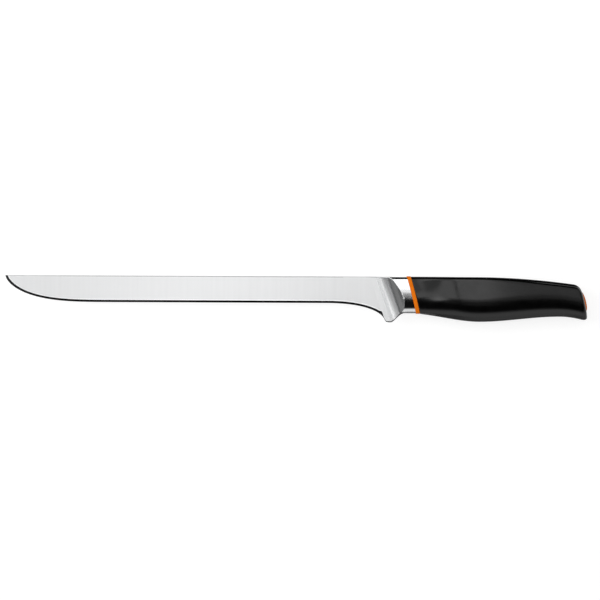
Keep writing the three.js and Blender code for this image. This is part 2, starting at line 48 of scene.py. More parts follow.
# The knife's sizes in millimetres, the same as in the solid part. x runs from the tip to the butt, y up to
# the spine and w or z out of the blade's side. At x = 0, y = 0 the bolster's rear face meets the spine line.
BLADE_LENGTH, BLADE_HEIGHT = 250.0, 17.3
SPINE_THICKNESS, TIP_THICKNESS, SHOULDER_THICKNESS = 2.2, 1.5, 1.0
BEVEL_HEIGHT, BEVEL_STRETCH = 1.45, 3.0
TIP_SWEEP, TIP_LENGTH_POWER, TIP_DEPTH_POWER = 70.0, 3.4, 1.66
HEEL_SETBACK, HEEL_FOOT, HEEL_DROP, HEEL_CORNER, HEEL_RAMP = 11.6, 1.4, 12.4, 2.2, 9.0
HEEL_SWEEP, HEEL_SWEEP_POWER, HEEL_SWEEP_END, HEEL_LEAN_END = 38.8, 2.3, 0.92, 0.6
RAMP_FOOT_PULL, RAMP_COLLAR_PULL = 2.2, 3.5
COLLAR_HEIGHT, COLLAR_THICKNESS, COLLAR_SLOPE, COLLAR_CREST = 23.7, 13.2, 0.29, 3.0
COLLAR_WIDEST_SHARE, COLLAR_BACK_FULLNESS, COLLAR_BELLY_FULLNESS = 0.53, 12.0, 3.8
BACK_EDGE, BACK_EDGE_FALL, BELLY_EDGE, BELLY_EDGE_FALL, EDGE_ROUND = 1.5, 0.75, 2.6, 0.86, 12.0
COVE_RADIUS, COVE_SETBACK = 19.0, 20.5
COVE_SLANT, JOINT_SLANT = math.radians(18.5), math.radians(14.3)
RING_LENGTH, RING_PROUD, SPIGOT_LENGTH = 2.5, 0.4, 2.0
GRIP_LENGTH, GRIP_PROUD, GRIP_BELLY_PROUD, GRIP_FLARE = 108.5, 0.15, 0.6, 0.1
BELLY_DEPTH, BELLY_SETBACK, WAIST_DEPTH, TAIL_LENGTH, TAIL_DEPTH = 29.2, 36.9, 25.65, 18.0, 28.8
BACK_DROOP, BACK_DROOP_LENGTH = 5.0, 66.0
GRIP_THICKNESS, GRIP_TAIL_THICKNESS, SIDE_FLAT, SIDE_LAND = 20.6, 18.0, 16.0, 1.02
WIDEST_SHARE, TAIL_WIDEST_SHARE = 0.35, 0.27
BACK_FULLNESS, TAIL_FULLNESS, BELLY_FULLNESS = 7.0, 3.0, 2.2
SHAPING_LENGTH = 22.0
BUTT_BACK_RADIUS, BUTT_BELLY_RADIUS, BUTT_SIDE_RADIUS = 4.2, 4.0, 3.0
GRIP_WALL, BUTT_WALL = 3.0, 9.5
KEY_SHARES, KEY_WIDTH, KEY_DEPTH, KEY_CHAMFER = (0.15, 0.5, 0.85), 5.0, 1.0, 1.0
TANG_SETBACK, TANG_THICKNESS, TANG_DEPTH = 13.0, 2.5, 12.2
TANG_FRONT_HEIGHT, TANG_REAR_HEIGHT = 12.0, 8.5
INSERT_HEIGHT, INSERT_WIDTH, INSERT_DEPTH = 13.6, 9.0, 15.4
INSERT_DOME, INSERT_PLATE, INSERT_FULLNESS = 1.9, 1.6, 2.4
SEAM, CLEARANCE = 0.1, 0.25

# Small roundings that only the looks need, the share of a thin spine that its rounding may take, and how far
# the grip's skin stays inside the solid part's facets.
RIDGE_EDGE, SPINE_EDGE, RING_EDGE, GRIP_MOUTH_EDGE = 0.3, 0.35, 0.25, 0.45
SPINE_EDGE_SHARE, GRIP_EASE = 0.7, 0.05
# The height of the painted dark rim round the foot, a band of near-black steel that paints shade along the
# outline, how far it stretches where the outline is steep, from which steepness it takes the bevel's place,
# and the height of the painted highlight line, a strip of bright steel above the bevel.
PAINTED_RIM_HEIGHT, PAINTED_RIM_STRETCH, STEEP_EDGE, PAINTED_HIGHLIGHT_HEIGHT = 0.75, 3.0, 1.1, 0.8
# The bevel's looks: how much wider it is at the tip and over which turn that fades, and the shares of the
# heel's curve over which it runs out.
TIP_BEVEL_GROWTH, TIP_BEVEL_TURN = 0.4, 1.0
HEEL_BEVEL_FADE, HEEL_BEVEL_END = 0.9, 0.96

COVE_LEAN, JOINT_LEAN = math.tan(COVE_SLANT), math.tan(JOINT_SLANT)
TIP_X = -HEEL_SETBACK - BLADE_LENGTH
HEEL_X = -HEEL_SETBACK - HEEL_CORNER
SWEEP_X = HEEL_X - HEEL_SWEEP
RAMP_X = -HEEL_SETBACK + HEEL_FOOT
RAMP_END_X = RAMP_X + HEEL_RAMP
FOOT_Y = -BLADE_HEIGHT - HEEL_DROP
COLLAR_Y = -COLLAR_HEIGHT
GRIP_START = RING_LENGTH + 2 * SEAM
GRIP_END = GRIP_START + GRIP_LENGTH
BELLY_STATION = GRIP_START + BELLY_SETBACK
CORE_START = GRIP_START + SPIGOT_LENGTH + SEAM
CORE_END = GRIP_END - BUTT_WALL
TANG_END = CORE_END - TANG_SETBACK
KEY_PLACES = [CORE_START + (CORE_END - CORE_START) * share for share in KEY_SHARES]
QUARTER = math.pi / 2
MM = 0.001
# A length that is as good as none, and how far below the spine line the spine still counts as flat.
LEAST, FLAT_SPINE = 1e-9, 1e-5

# Columns on half a forging section: over the spine, down the face, round the foot. Then those on half a
# handle section, and the power that draws them together at its ends.
SPINE_COLUMNS, FACE_COLUMNS, FOOT_COLUMNS = 40, 32, 20
HANDLE_COLUMNS, COLUMN_POWER = 80, 1.5
# Rows along the forging, from the tip to the rear face, then round the tang's end.
TIP_ROWS, EDGE_ROWS, HEEL_ROWS, CORNER_ROWS, RAMP_ROWS, RIDGE_ROWS, COLLAR_ROWS = 110, 40, 80, 20, 40, 28, 15
TANG_END_ROWS, TANG_END_SHARE = 12, 0.98
# Rows along the grip's cavity, mouth, length and butt, round the ring's edges and up the insert's dome.
CAVITY_ROWS, MOUTH_ROWS, GRIP_ROWS, BUTT_ROWS, RING_EDGE_ROWS, DOME_ROWS = 24, 9, 150, 25, 7, 26
# A short step along an edge line, the halvings in a search, and the bends in degrees that stay sharp.
LINE_STEP, HALVINGS = 0.008, 60
BLADE_CREASE, RING_CREASE, MOULDED_CREASE = 34.0, 22.0, 40.0
# Points nearer than this are one point, and shorter edges are taken out, in metres.
EQUAL_POINTS, EMPTY_EDGE = 5e-8, 1e-8

# The forging's finishes, in the order of its materials. The rim is near-black steel that paints shade along
# the outline and the steep bevel, the spine darker steel that paints a grey line of shade along the spine,
# and the honed one bright steel that paints a highlight line above the bevel.
SATIN, BEVEL, POLISHED, COVE, PAINTED_DARK_RIM, PAINTED_SPINE_SHADE, PAINTED_HIGHLIGHT = range(7)

# Patterns: noise cells in each metre along x, y and z for the grinding lines and for the broader passes, the
# finer dust between the grain's pits and its share in them, the slow change in gloss, and the depths in
# metres.
LINE_CELLS, PASS_CELLS = (5200.0, 26.0, 26.0), (420.0, 9.0, 9.0)
DUST_FINENESS, DUST_SHARE, GLOSS_CELLS = 2.3, 0.6, 160.0
LINE_DEPTH, PIT_DEPTH = 0.00002, 0.00005

# The photograph's frame on the blade's middle plane: its width in metres, its middle in the knife's own
# millimetres and its turn in degrees. Then the lens and the sensor in millimetres, and the camera's reach in
# metres.
FRAME_WIDTH, FRAME_MIDDLE, FRAME_TURN = 0.3914, (-69.4, -15.4), 0.255
CAMERA_LENS, CAMERA_SENSOR, CAMERA_REACH = 95.0, 36.0, 20.0

# Light: the floor's reach in metres, its own tone and its lift to white, the brightness of the band on the
# wall and of the room. Then the heights over which the band ends at its top and foot, and the side that it
# is on. Then the panels' distance in metres and the azimuth of the spine's side, counted from +x.
FLOOR_REACH, FLOOR_TONE, FLOOR_LIFT = 4.0, 0.35, 0.8
WALL_LIGHT, ROOM_LIGHT = 0.85, 0.006
WALL_TOP, WALL_FOOT, WALL_SIDE = (0.5, 0.68), (0.03, 0.15), (-0.8, -0.2)
PANEL_DISTANCE, SPINE_AZIMUTH = 1.0, 90.0

# Soft panels over the knife, in zones along x in metres: above the tip, the blade, the bolster, the grip's
# front and its rear. Each spans degrees off the zenith, towards the spine's side, and has a brightness.
LIGHT_ZONES = (
    ("tip", -1.0, -0.22, ((18, 52, 1.4), (-6, 18, 0.65), (-15, -6, 0.12), (-26, -15, 0.03))),
    ("blade", -0.22, 0.105, ((18, 52, 0.9), (-9, 18, 1.52), (-15, -9, 0.45), (-26, -15, 0.1))),
    (
        "bolster", 0.105, 0.17,
        (
            (27, 52, 1.5), (20, 27, 0.95), (15, 20, 0.7), (10, 15, 0.45),
            (3, 10, 0.26), (-4, 3, 0.12), (-15, -4, 0.04),
        ),
    ),
    ("grip_front", 0.17, 0.295, ((-6, 52, 1.9), (-15, -6, 0.9), (-26, -15, 0.2))),
    ("grip_rear", 0.295, 1.25, ((-6, 52, 0.6), (-15, -6, 0.3))),
)
# Single panels: degrees off the zenith, azimuth from +x, width and shift in metres, and brightness. Those
# for the cove lie towards the tip, one fills in from the tip's side and one stands low behind the butt.
SINGLE_LIGHTS = (
    ("cove_near", 13, 22, 211.0, 0.2, -0.1, 2.4),
    ("cove_next", 22, 30, 207.5, 0.16, -0.08, 1.7),
    ("cove_middle", 30, 37, 205.5, 0.14, -0.07, 1.1),
    ("cove_far", 37, 44, 204.5, 0.12, -0.06, 1.4),
    ("cove_low", 50, 75, 201.0, 0.4, 0.0, 0.17),
    ("fill", 36, 76, 165.0, 0.55, 0.0, 4.0),
    ("butt", 72, 88, 0.0, 1.2, 0.0, 0.6),
)

# Where the knife's own axes lie in the row frame: the blade's box gives its tip, its spine and its middle.
blade_low, blade_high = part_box("blade")
SHIFT = np.array([blade_low[0] / MM - TIP_X, blade_high[1] / MM, (blade_low[2] + blade_high[2]) / 2 / MM])


def blend(a, b, share):
    """A straight blend: a at share 0 and b at share 1."""
    return a + (b - a) * share


def smooth(value, low, high):
    """A soft step from 0 at low to 1 at high: 3t squared less 2t cubed, where t is the share of the way."""
    t = np.clip((value - low) / (high - low), 0.0, 1.0)
    return t * t * (3.0 - 2.0 * t)


def eased(steps):
    """Shares from 0 to 1, closer together at both ends: half of one less the cosine of a half turn."""
    return (1 - np.cos(np.linspace(0.0, math.pi, steps + 1))) / 2


def half_width(share, reach, thickness, power, slope=0.0, land=1.0, edge=0.0, edge_fall=0.0):
    """Half the thickness of a rounded section, at a share of the reach from its widest line to its end. The
    corner is one less the share to a power, to one over that power. A slope makes the sides fall away from a
    soft crest, a land over 1 leaves them flat, and an edge closes them in a straight fall with a round."""

    def body(at):
        """Half the section's thickness without its closing edge."""
        corner = np.maximum(0.0, 1 - at**power) ** (1 / power)
        fall = slope * (np.hypot(at * reach, COLLAR_CREST) - COLLAR_CREST)
        return np.minimum(1.0, land * corner) * thickness / 2 - fall * corner

    start = np.clip(1 - edge / np.abs(reach), 0.0, 1.0)
    past = np.clip((share - start) / np.maximum(1 - start, LEAST), 0.0, 1.0)
    closing = (1 - past**EDGE_ROUND) ** (1 / EDGE_ROUND)
    cut = closing * (body(start) - edge_fall * (share - start) * np.abs(reach))
    return np.maximum(0.0, np.where(share > start, cut, body(share)))


def soft_least(a, b, edge):
    """The lesser of two heights, with the crease between them rounded over an edge's width."""
    near = np.maximum(edge - np.abs(a - b), 0.0)
    return np.minimum(a, b) - near * near / (4 * edge)


def bezier(p0, p1, p2, p3, t):
    """A cubic curve through p0 and p3 that leaves towards p1 and arrives from p2."""
    u = 1.0 - t
    weights = np.stack([u**3, 3 * u * u * t, 3 * u * t * t, t**3], axis=1)
    return weights @ np.array([p0, p1, p2, p3])


def through_knots(knots, place):
    """A smooth curve through knots of place, value and slope: cubics that keep the knots' slopes."""
    x, y, slope = np.array(knots).T
    nxt = np.clip(np.searchsorted(x, place), 1, len(x) - 1)
    x0, x1, y0, y1 = x[nxt - 1], x[nxt], y[nxt - 1], y[nxt]
    t = np.clip((place - x0) / (x1 - x0), 0.0, 1.0)
    bend = t * (1 - t) * ((1 - t) * slope[nxt - 1] - t * slope[nxt])
    return blend(y0, y1, t * t * (3 - 2 * t)) + (x1 - x0) * bend


def rings_from(y, w, station, lean):
    """Closed rings from half sections. Each row of y and w is one half, from the back to the belly. The
    section leans: x is the station less lean times y. The other half mirrors it in the blade's plane."""
    x = station - lean * y
    right = np.stack([x, y, w], axis=-1)
    left = np.stack([x, y, -w], axis=-1)[:, -2:0:-1]
    return np.concatenate([right, left], axis=1)


def grid_faces(rows, columns, wraps):
    """Four-cornered faces between neighbouring rings, also from the last ring to the first if it wraps."""
    row = np.arange(rows if wraps else rows - 1)[:, None]
    column = np.arange(columns)[None, :]
    after, beside = (row + 1) % rows, (column + 1) % columns
    places = ((row, column), (row, beside), (after, beside), (after, column))
    return np.stack([ring * columns + point for ring, point in places], axis=-1).reshape(-1, 4)


def fan_faces(first, columns, centre):
    """Three-cornered faces from a centre point to each side of a ring that starts at index first."""
    column = np.arange(columns)
    ring = [first + column, first + (column + 1) % columns, np.full(columns, centre)]
    return np.stack(ring, axis=-1)


def keep_finish_edges(mesh):
    """Marks the edges round the faces of the cutting bevel and of the painted dark rim, the near-black band
    that paints shade along the outline, as sharp.
    """
    kinds, sizes = np.zeros(len(mesh.polygons), np.int32), np.zeros(len(mesh.polygons), np.int32)
    mesh.polygons.foreach_get("material_index", kinds)
    mesh.polygons.foreach_get("loop_total", sizes)
    edge_of = np.zeros(len(mesh.loops), np.int32)
    mesh.loops.foreach_get("edge_index", edge_of)
    lowest, highest = np.full(len(mesh.edges), PAINTED_HIGHLIGHT + 1), np.full(len(mesh.edges), -1)
    np.minimum.at(lowest, edge_of, np.repeat(kinds, sizes))
    np.maximum.at(highest, edge_of, np.repeat(kinds, sizes))
    sharp = np.zeros(len(mesh.edges), bool)
    mesh.edges.foreach_get("use_edge_sharp", sharp)
    edged = np.isin(lowest, (BEVEL, PAINTED_DARK_RIM)) | np.isin(highest, (BEVEL, PAINTED_DARK_RIM))
    mesh.edges.foreach_set("use_edge_sharp", sharp | ((lowest != highest) & edged))


def skin(name, rings, finishes, crease, finish_of=None, wraps=False):
    """A closed mesh over rings of points, an array of ring by point by xyz in millimetres. Open ends get a
    fan of faces to their middle point. Equal points are merged, faces point out, and bends over crease
    degrees stay sharp."""
    rows, columns = rings.shape[:2]
    points = rings.reshape(-1, 3)
    faces = grid_faces(rows, columns, wraps).tolist()
    kinds = np.zeros(len(faces), int) if finish_of is None else finish_of.reshape(-1)
    if not wraps:
        points = np.concatenate([points, rings[[0, -1]].mean(axis=1)])
        faces += fan_faces(0, columns, rows * columns).tolist()
        faces += fan_faces((rows - 1) * columns, columns, rows * columns + 1).tolist()
        kinds = np.concatenate([kinds, np.repeat(kinds[[0, -1]], columns)])
    mesh = bpy.data.meshes.new(name)
    mesh.from_pydata(((points + SHIFT) * MM).tolist(), [], faces)
    mesh.polygons.foreach_set("material_index", kinds.astype(np.int32))
    mesh.polygons.foreach_set("use_smooth", np.ones(len(faces), bool))
    work = bmesh.new()
    work.from_mesh(mesh)
    bmesh.ops.remove_doubles(work, verts=work.verts, dist=EQUAL_POINTS)
    bmesh.ops.dissolve_degenerate(work, edges=work.edges, dist=EMPTY_EDGE)
    bmesh.ops.recalc_face_normals(work, faces=work.faces)
    work.to_mesh(mesh)
    work.free()
    mesh.set_sharp_from_angle(angle=math.radians(crease))
    keep_finish_edges(mesh)
    for finish in finishes:
        mesh.materials.append(finish)
    piece = bpy.data.objects.new(name, mesh)
    bpy.context.scene.collection.objects.link(piece)
    return piece


def tip_line(turn):
    """The edge at the tip: a rounded quarter curve, steep at the point and level at the straight edge."""
    x = TIP_X + TIP_SWEEP * (1 - np.cos(turn) ** (2 / TIP_LENGTH_POWER))
    return x, -BLADE_HEIGHT * np.sin(turn) ** (2 / TIP_DEPTH_POWER)


def heel_line(share):
    """The edge at the heel: a quarter curve the other way, from the straight edge down to the foot."""
    x = SWEEP_X + HEEL_SWEEP * np.sin(share * QUARTER) ** (2 / HEEL_SWEEP_POWER)
    return x, -BLADE_HEIGHT - HEEL_DROP * (1 - np.cos(share * QUARTER))


def forging_stops():
    """The forging's lower outline from tip to rear face: rows of x, bottom, lean and bevel height."""

    def stretch(x, bottom, lean, bevel):
        """One stretch of the outline as rows, with single values repeated."""
        return np.stack(np.broadcast_arrays(x, bottom, lean, bevel), axis=1)

    def bevel_stretch(line, place, lean):
        """How much taller the bevel is on a steep edge: the way along the edge over the way on from section
        to section."""
        (x, y), (ahead_x, ahead_y) = line(place), line(place + LINE_STEP)
        across = np.maximum(ahead_x - x + lean * (ahead_y - y), LEAST)
        return np.clip(np.hypot(ahead_x - x, ahead_y - y) / across, 1.0, BEVEL_STRETCH)

    turn = np.linspace(0.0, QUARTER, TIP_ROWS, endpoint=False)
    wider = 1 + TIP_BEVEL_GROWTH * (1 - smooth(turn, 0.0, TIP_BEVEL_TURN))
    tip = stretch(*tip_line(turn), 0.0, BEVEL_HEIGHT * wider * bevel_stretch(tip_line, turn, 0.0))
    straight = np.linspace(TIP_X + TIP_SWEEP, SWEEP_X, EDGE_ROWS, endpoint=False)
    edge = stretch(straight, -BLADE_HEIGHT, 0.0, BEVEL_HEIGHT)
    share = np.linspace(0.0, HEEL_SWEEP_END, HEEL_ROWS, endpoint=False)
    lean = COVE_LEAN * smooth(share, 0.0, HEEL_LEAN_END)
    left = 1 - smooth(share, HEEL_BEVEL_FADE, HEEL_BEVEL_END)
    heel = stretch(*heel_line(share), lean, BEVEL_HEIGHT * bevel_stretch(heel_line, share, lean) * left)
    x, y = heel_line(HEEL_SWEEP_END)
    corner = bezier(
        (x, y), (HEEL_X, (y + FOOT_Y) / 2),
        (-HEEL_SETBACK - HEEL_CORNER / 2, FOOT_Y), (-HEEL_SETBACK, FOOT_Y),
        np.linspace(0.0, 1.0, CORNER_ROWS),
    )
    ramp = bezier(
        (RAMP_X, FOOT_Y), (RAMP_X + RAMP_FOOT_PULL, FOOT_Y),
        (RAMP_END_X - RAMP_COLLAR_PULL, COLLAR_Y), (RAMP_END_X, COLLAR_Y),
        np.linspace(0.0, 1.0, RAMP_ROWS),
    )
    foot = np.concatenate([corner, ramp])
    foot = stretch(foot[:, 0], foot[:, 1], COVE_LEAN, 0.0)
    start = RAMP_END_X + COVE_LEAN * COLLAR_Y
    depth = COVE_RADIUS - (COLLAR_THICKNESS - SPINE_THICKNESS) / 2
    peak = math.sqrt(COVE_RADIUS**2 - depth**2) - COVE_SETBACK
    station = blend(peak, start, np.linspace(1.0, 0.0, RIDGE_ROWS)[1:] ** 2)
    ridge = stretch(station - COVE_LEAN * COLLAR_Y, COLLAR_Y, COVE_LEAN, 0.0)
    back = np.linspace(0.0, 1.0, COLLAR_ROWS)[1:] ** 2
    lean = blend(COVE_LEAN, JOINT_LEAN, back)
    collar = stretch(blend(peak, 0.0, back) - lean * COLLAR_Y, COLLAR_Y, lean, 0.0)
    return np.concatenate([tip, edge, heel, foot, ridge, collar])


def forging_rings():
    """Sections of the forging on a grid of stop by column. Each one is the bolster's section, cut off by the
    blade's face, which tapers to the bevel and which the cove lifts along a circle. The ridge between the
    two is a little rounded, the spine's edges are quarter circles, and a straight bevel closes the section
    along the edge. Also gives each face's finish."""
    x, bottom, lean, bevel = (column[:, None] for column in forging_stops().T)
    station = x + lean * bottom
    along = np.clip((station - TIP_X) / (BLADE_LENGTH - COVE_SETBACK), 0.0, 1.0)
    spine = blend(TIP_THICKNESS, SPINE_THICKNESS, along) / 2
    height = np.minimum(bevel, -bottom)
    shoulder_y = bottom + height
    full = np.where(bevel > 0, height / np.maximum(bevel, LEAST), 1.0)
    shoulder = SHOULDER_THICKNESS / 2 * full
    slope = (spine - SHOULDER_THICKNESS / 2) / np.maximum(-shoulder_y, BLADE_HEIGHT - BEVEL_HEIGHT)
    run = np.clip(station + COVE_SETBACK, 0.0, COVE_RADIUS)
    rise = COVE_RADIUS - np.sqrt(COVE_RADIUS**2 - run**2)

    def thickness(y):
        """Half the blade's thickness: the shoulder's, a straight wedge up from it and the cove's rise."""
        return shoulder + slope * (y - shoulder_y) + rise

    middle = COLLAR_WIDEST_SHARE * bottom
    reaches = {1: np.maximum(-middle, LEAST), -1: np.minimum(bottom - middle, -LEAST)}
    powers = {1: COLLAR_BACK_FULLNESS, -1: COLLAR_BELLY_FULLNESS}
    edges = {1: BACK_EDGE, -1: 0.0}

    def collar(side, share):
        """Half the bolster's thickness at a share of the way from its widest line, up or down."""
        plain = (COLLAR_THICKNESS, powers[side], COLLAR_SLOPE, 1.0)
        return half_width(share, reaches[side], *plain, edges[side], BACK_EDGE_FALL)

    def share_at(side, w):
        """The share at which the bolster is as thick as w, found by halving."""
        near, far = 0.0 * station, 1.0 + 0.0 * station
        for _ in range(HALVINGS):
            half = (near + far) / 2
            wider = collar(side, half) > w
            near, far = np.where(wider, half, near), np.where(wider, far, half)
        return far

    upper, lower = share_at(1, thickness(0.0)), share_at(-1, thickness(bottom))
    upper_y, lower_y = middle + reaches[1] * upper, middle + reaches[-1] * lower
    flat = upper_y > -FLAT_SPINE
    upper_w, lower_w = np.where(flat, thickness(0.0), collar(1, upper)), collar(-1, lower)
    bevelled = shoulder_y > lower_y
    ridge_edge = np.clip(upper_w, LEAST, RIDGE_EDGE)
    spine_edge = np.clip(SPINE_EDGE_SHARE * thickness(0.0), LEAST, SPINE_EDGE)
    lower_y = np.where(bevelled, shoulder_y, lower_y)
    lower_w = np.where(bevelled, thickness(shoulder_y), lower_w)

    top_share = blend(1.0, upper, eased(SPINE_COLUMNS)[None, :-1])
    top_y, top_w = middle + reaches[1] * top_share, collar(1, top_share)
    over = np.linspace(0.0, 1.0, SPINE_COLUMNS, endpoint=False)
    top_w = np.where(flat, upper_w * over, soft_least(top_w, upper_w, ridge_edge))
    across = eased(FACE_COLUMNS)[None, :-1]
    face_y, face_w = blend(upper_y, lower_y, across), blend(upper_w, lower_w, across)
    side = np.where(face_y > middle, 1, -1)
    above, below = (np.maximum((face_y - middle) / reaches[way], 0.0) for way in (1, -1))
    beside = np.where(side > 0, collar(1, above), collar(-1, below))
    no_ridge = np.where(side > 0, flat, bevelled)
    beside = np.where(no_ridge, face_w + RIDGE_EDGE, beside)
    face_w = soft_least(face_w, beside, ridge_edge)
    down = eased(FOOT_COLUMNS)[None, :]
    foot_share = blend(lower, 1.0, down)
    foot_y = np.where(bevelled, blend(lower_y, bottom, down), middle + reaches[-1] * foot_share)
    belly_w = soft_least(collar(-1, foot_share), lower_w, RIDGE_EDGE)
    foot_w = np.where(bevelled, blend(lower_w, 0.0, down), belly_w)
    y = np.concatenate([top_y, face_y, foot_y], axis=1)
    w = np.concatenate([top_w, face_w, foot_w], axis=1)
    below_top = np.clip(spine_edge + y, 0.0, spine_edge)
    under_spine = thickness(y) - spine_edge + np.sqrt(spine_edge**2 - below_top**2)
    w = np.clip(under_spine, 0.0, np.maximum(w, 0.0))
    w[:, 0] = w[:, -1] = 0.0

    ahead, fall = np.gradient(station[:, 0]), np.gradient(bottom[:, 0])
    # The painted dark rim: near-black steel along the foot's outline, taller where the outline is steep,
    # paints shade there.
    steep = np.clip(np.hypot(ahead, fall) / np.maximum(ahead, LEAST), 1.0, PAINTED_RIM_STRETCH)[:, None]
    painted_dark_rim = PAINTED_RIM_HEIGHT * steep
    # Along the blade the spine's top takes the darker steel that paints a grey line of shade; on the collar
    # it stays polished.
    on_collar = np.where(station > -COVE_SETBACK / 2, POLISHED, PAINTED_SPINE_SHADE)
    spine_finish = np.repeat(on_collar, SPINE_COLUMNS, axis=1)
    face_finish = np.where(station > -COVE_SETBACK, COVE, SATIN)
    face_finish = np.where((face_y - bottom < painted_dark_rim) & (bevel == 0), PAINTED_DARK_RIM, face_finish)
    # A thin strip of bright steel just above the bevel's shoulder: a painted highlight along the cutting
    # edge.
    face_finish = np.where(bevelled & (face_y - shoulder_y < PAINTED_HIGHLIGHT_HEIGHT), PAINTED_HIGHLIGHT, face_finish)
    # The rounded edges under the spine take the same darker steel, painted shade along the spine's line.
    face_finish = np.where(face_y > -SPINE_EDGE, PAINTED_SPINE_SHADE, face_finish)
    # Round the foot the near-black steel paints shade along the outline, and where the bevel runs steep at
    # the tip and heel it takes the bevel's place as a dark line of painted shade.
    foot_finish = np.where(foot_y[:, :-1] - bottom < painted_dark_rim, PAINTED_DARK_RIM, POLISHED)
    foot_finish = np.where(bevelled, np.where(steep > STEEP_EDGE, PAINTED_DARK_RIM, BEVEL), foot_finish)
    half = np.concatenate([spine_finish, face_finish, foot_finish], axis=1)
    return rings_from(y, w, station, lean), np.concatenate([half, half[:, ::-1]], axis=1)


def bar_half(top, bottom, width, counts):
    """Half of a plain oblong section: along the top, down the side and along the bottom, with a set number
    of columns for each, so that its corners fall on columns."""
    over, down, under = (np.linspace(0.0, 1.0, count, endpoint=False) for count in counts)
    y = [top + 0 * over, blend(top, bottom, down), bottom + 0 * under, bottom + np.zeros((len(top), 1))]
    w = [width * over, width + 0 * down, width * (1 - under), np.zeros(1)]
    w = [part + np.zeros((len(top), 1)) for part in w]
    return np.concatenate(y, axis=1), np.concatenate(w, axis=1)


def tang_rings(counts, grow=0.0, stations=None):
    """Sections of the tang: a bar that narrows evenly to a half round end, grown all round for a slot."""
    end = TANG_END - TANG_REAR_HEIGHT / 2
    radius = TANG_REAR_HEIGHT / 2
    if stations is None:
        turn = np.linspace(0.0, QUARTER * TANG_END_SHARE, TANG_END_ROWS)
        x = np.concatenate([[0.0], end + radius * np.sin(turn)])
        reach = np.concatenate([[TANG_FRONT_HEIGHT / 2], radius * np.cos(turn)])
    else:
        x = np.array(stations)
        reach = blend(TANG_FRONT_HEIGHT / 2, radius, x / end)
    x, reach = x[:, None], reach[:, None] + grow
    y, w = bar_half(-TANG_DEPTH + reach, -TANG_DEPTH - reach, TANG_THICKNESS / 2 + grow, counts)
    leans = np.where(x < GRIP_START + SPIGOT_LENGTH + SEAM, JOINT_LEAN, 0.0)
    return rings_from(y, w, x, leans)


def rounded_half(
    top, middle, bottom, thickness, above, below, slope=0.0, land=1.0, back_edge=0.0, belly_edge=0.0
):
    """Half sections of the handle, from the back over the widest line to the belly. Their columns lie closer
    together towards the back and the belly: each share is one less a power of one less the sine."""
    turn = np.linspace(0.0, QUARTER, HANDLE_COLUMNS // 2 + 1)[None, :]
    share = 1 - (1 - np.sin(turn)) ** COLUMN_POWER
    upper_w = half_width(share, top - middle, thickness, above, slope, land, back_edge, BACK_EDGE_FALL)
    lower_w = half_width(share, bottom - middle, thickness, below, slope, land, belly_edge, BELLY_EDGE_FALL)
    upper_y, lower_y = blend(middle, top, share), blend(middle, bottom, share)
    y = np.concatenate([upper_y[:, ::-1], lower_y[:, 1:]], axis=1)
    w = np.concatenate([upper_w[:, ::-1], lower_w[:, 1:]], axis=1)
    w[:, 0] = w[:, -1] = 0.0
    return y, w


def grip_lines(station):
    """The grip's back, belly and thickness along its length: smooth curves through a few knots."""
    waist, droop = GRIP_END - TAIL_LENGTH, GRIP_END - BACK_DROOP_LENGTH
    front = COLLAR_THICKNESS + 2 * GRIP_PROUD
    back = [
        (GRIP_START, GRIP_PROUD, 0),
        (droop, 0, 0),
        (GRIP_END, -BACK_DROOP, -2 * BACK_DROOP / BACK_DROOP_LENGTH),
    ]
    belly = [
        (GRIP_START, COLLAR_Y - GRIP_BELLY_PROUD, -GRIP_FLARE),
        (BELLY_STATION, -BELLY_DEPTH, 0),
        (waist, -WAIST_DEPTH, 0),
        (GRIP_END, -TAIL_DEPTH, 2 * (WAIST_DEPTH - TAIL_DEPTH) / TAIL_LENGTH),
    ]
    thickness = [
        (GRIP_START, front, GRIP_FLARE),
        (BELLY_STATION - SIDE_FLAT / 2, GRIP_THICKNESS, 0),
        (BELLY_STATION + SIDE_FLAT / 2, GRIP_THICKNESS, 0),
        (GRIP_END, GRIP_TAIL_THICKNESS, 0),
    ]
    return [through_knots(knots, station) for knots in (back, belly, thickness)]


def butt_rounding(station, radius):
    """How far a rounding of the butt's edge has come in: a quarter circle of that radius."""
    into = np.clip(station - GRIP_END + radius, 0.0, radius)
    return radius - np.sqrt(radius**2 - into**2)


def grip_rings(station, inset):
    """The grip's sections at each station, taken in all round by an inset. They turn from the bolster's
    section into the fuller one of the hand, grow rounder in the tail, and the butt's roundings draw them in
    at the end."""
    station, inset = (np.asarray(value, float)[:, None] for value in np.broadcast_arrays(station, inset))
    back, belly, thickness = grip_lines(station)
    shaped = smooth(station, GRIP_START, GRIP_START + SHAPING_LENGTH)
    tail = smooth(station, BELLY_STATION, GRIP_END - TAIL_LENGTH)
    y, w = rounded_half(
        back - butt_rounding(station, BUTT_BACK_RADIUS) - inset,
        blend(back, belly, blend(COLLAR_WIDEST_SHARE, blend(WIDEST_SHARE, TAIL_WIDEST_SHARE, tail), shaped)),
        belly + butt_rounding(station, BUTT_BELLY_RADIUS) + inset,
        thickness - 2 * butt_rounding(station, BUTT_SIDE_RADIUS) - 2 * inset,
        blend(COLLAR_BACK_FULLNESS, blend(BACK_FULLNESS, TAIL_FULLNESS, tail), shaped),
        blend(COLLAR_BELLY_FULLNESS, BELLY_FULLNESS, shaped),
        COLLAR_SLOPE * (1 - shaped),
        blend(1.0, SIDE_LAND, shaped * (1 - tail)),
        BACK_EDGE,
        BELLY_EDGE * shaped,
    )
    return rings_from(y, w, station, JOINT_LEAN)


